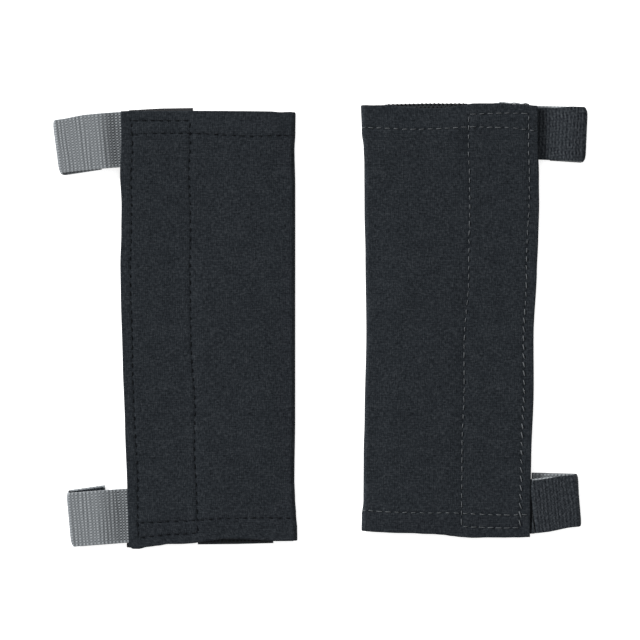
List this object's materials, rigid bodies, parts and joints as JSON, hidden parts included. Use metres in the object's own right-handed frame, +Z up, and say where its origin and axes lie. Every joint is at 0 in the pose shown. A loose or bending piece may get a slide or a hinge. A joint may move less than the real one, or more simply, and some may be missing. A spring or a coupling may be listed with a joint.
{
  "type": "hand grips",
  "caption": "Pair of flat fabric hand grips that wrap round a bar, with hook and loop closure along the free edge and folded webbing pull tabs at its ends.",
  "frame": {"origin": "bottom centre of the pair's bounding box, on the surface that the grips lie on", "axes": "+Z up off that surface, +X from the left grip (front up) to the right grip (back up), +Y along the folded edges towards the upper ends"},
  "size_m": [0.2508, 0.2084, 0.0067],
  "materials": {
    "cloth": "matt woven, dark blue-grey heather",
    "webbing": "woven nylon, mid grey",
    "facing": "ribbed pile, charcoal",
    "hook_tape": "woven nylon hook tape, black",
    "loop_tape": "brushed nylon loop tape, black",
    "liner": "thin knit with rows of anti-slip rubber dots, black",
    "black_thread": "polyester thread, black",
    "grey_thread": "polyester thread, light grey"
  },
  "bodies": {
    "left_base": {"left_back_panel": "cloth", "left_back_liner": "liner", "left_back_seam_thread": "grey_thread", "left_loop_tape": "loop_tape", "left_panel_fold": "cloth"},
    "left_flap": {"left_front_panel": "cloth", "left_front_liner": "liner", "left_front_seam_thread": "black_thread", "left_hook_tape": "hook_tape", "left_upper_strap_sewn_end": "webbing", "left_lower_strap_sewn_end": "webbing"},
    "left_upper_strap": {"left_upper_strap_webbing_root": "webbing", "left_upper_strap_facing_root": "facing", "left_upper_strap_fold": "webbing"},
    "left_upper_strap_tip": {"left_upper_strap_webbing_tip": "webbing", "left_upper_strap_facing_tip": "facing"},
    "left_lower_strap": {"left_lower_strap_webbing_root": "webbing", "left_lower_strap_facing_root": "facing", "left_lower_strap_fold": "webbing"},
    "left_lower_strap_tip": {"left_lower_strap_webbing_tip": "webbing", "left_lower_strap_facing_tip": "facing"},
    "right_base": {"right_front_panel": "cloth", "right_front_liner": "liner", "right_front_seam_thread": "black_thread", "right_hook_tape": "hook_tape", "right_panel_fold": "cloth", "right_upper_strap_sewn_end": "webbing", "right_lower_strap_sewn_end": "webbing"},
    "right_flap": {"right_back_panel": "cloth", "right_back_liner": "liner", "right_back_seam_thread": "grey_thread", "right_loop_tape": "loop_tape"},
    "right_upper_strap": {"right_upper_strap_webbing_root": "webbing", "right_upper_strap_facing_root": "facing", "right_upper_strap_fold": "webbing"},
    "right_upper_strap_tip": {"right_upper_strap_webbing_tip": "webbing", "right_upper_strap_facing_tip": "facing"},
    "right_lower_strap": {"right_lower_strap_webbing_root": "webbing", "right_lower_strap_facing_root": "facing", "right_lower_strap_fold": "webbing"},
    "right_lower_strap_tip": {"right_lower_strap_webbing_tip": "webbing", "right_lower_strap_facing_tip": "facing"}
  },
  "joints": [
    {"name": "left_flap_open", "type": "hinge", "parent": "left_base", "child": "left_flap", "pos_m": [-0.01412, -0.00248, 0.00215], "axis": [0, 1, 0], "range_deg": [0, 165], "deforming": ["left_panel_fold"]},
    {"name": "left_upper_strap_bend", "type": "hinge", "parent": "left_flap", "child": "left_upper_strap", "pos_m": [-0.09455, 0.0856, 0.0028], "axis": [-0.0157, 0.9999, 0], "range_deg": [-95, 84]},
    {"name": "left_upper_strap_unfold", "type": "hinge", "parent": "left_upper_strap", "child": "left_upper_strap_tip", "pos_m": [-0.12099, 0.08264, 0.00316], "axis": [-0.111, 0.9938, 0.0096], "range_deg": [0, 175], "deforming": ["left_upper_strap_fold"]},
    {"name": "left_lower_strap_bend", "type": "hinge", "parent": "left_flap", "child": "left_lower_strap", "pos_m": [-0.0918, -0.0894, 0.0028], "axis": [-0.0157, 0.9999, 0], "range_deg": [-96, 83]},
    {"name": "left_lower_strap_unfold", "type": "hinge", "parent": "left_lower_strap", "child": "left_lower_strap_tip", "pos_m": [-0.11495, -0.09109, 0.00314], "axis": [-0.0729, 0.9973, 0.0066], "range_deg": [0, 175], "deforming": ["left_lower_strap_fold"]},
    {"name": "right_grip_lift", "type": "slide", "parent": "left_base", "child": "right_base", "axis": [0, 0, 1], "range_m": [0, 0.2]},
    {"name": "right_flap_open", "type": "hinge", "parent": "right_base", "child": "right_flap", "pos_m": [0.02223, 0.00152, 0.00215], "axis": [0, -1, 0], "range_deg": [0, 165], "deforming": ["right_panel_fold"]},
    {"name": "right_upper_strap_bend", "type": "hinge", "parent": "right_base", "child": "right_upper_strap", "pos_m": [0.10265, 0.0887, 0.0015], "axis": [-0.0157, -0.9999, 0], "range_deg": [-101, 78]},
    {"name": "right_upper_strap_unfold", "type": "hinge", "parent": "right_upper_strap", "child": "right_upper_strap_tip", "pos_m": [0.12191, 0.08799, 0.00315], "axis": [-0.0362, -0.9993, -0.0043], "range_deg": [0, 175], "deforming": ["right_upper_strap_fold"]},
    {"name": "right_lower_strap_bend", "type": "hinge", "parent": "right_base", "child": "right_lower_strap", "pos_m": [0.09992, -0.0851, 0.0015], "axis": [-0.0157, -0.9999, 0], "range_deg": [-102, 77]},
    {"name": "right_lower_strap_unfold", "type": "hinge", "parent": "right_lower_strap", "child": "right_lower_strap_tip", "pos_m": [0.11866, -0.0831, 0.00339], "axis": [0.1032, -0.9943, 0.027], "range_deg": [0, 175], "deforming": ["right_lower_strap_fold"]}
  ]
}
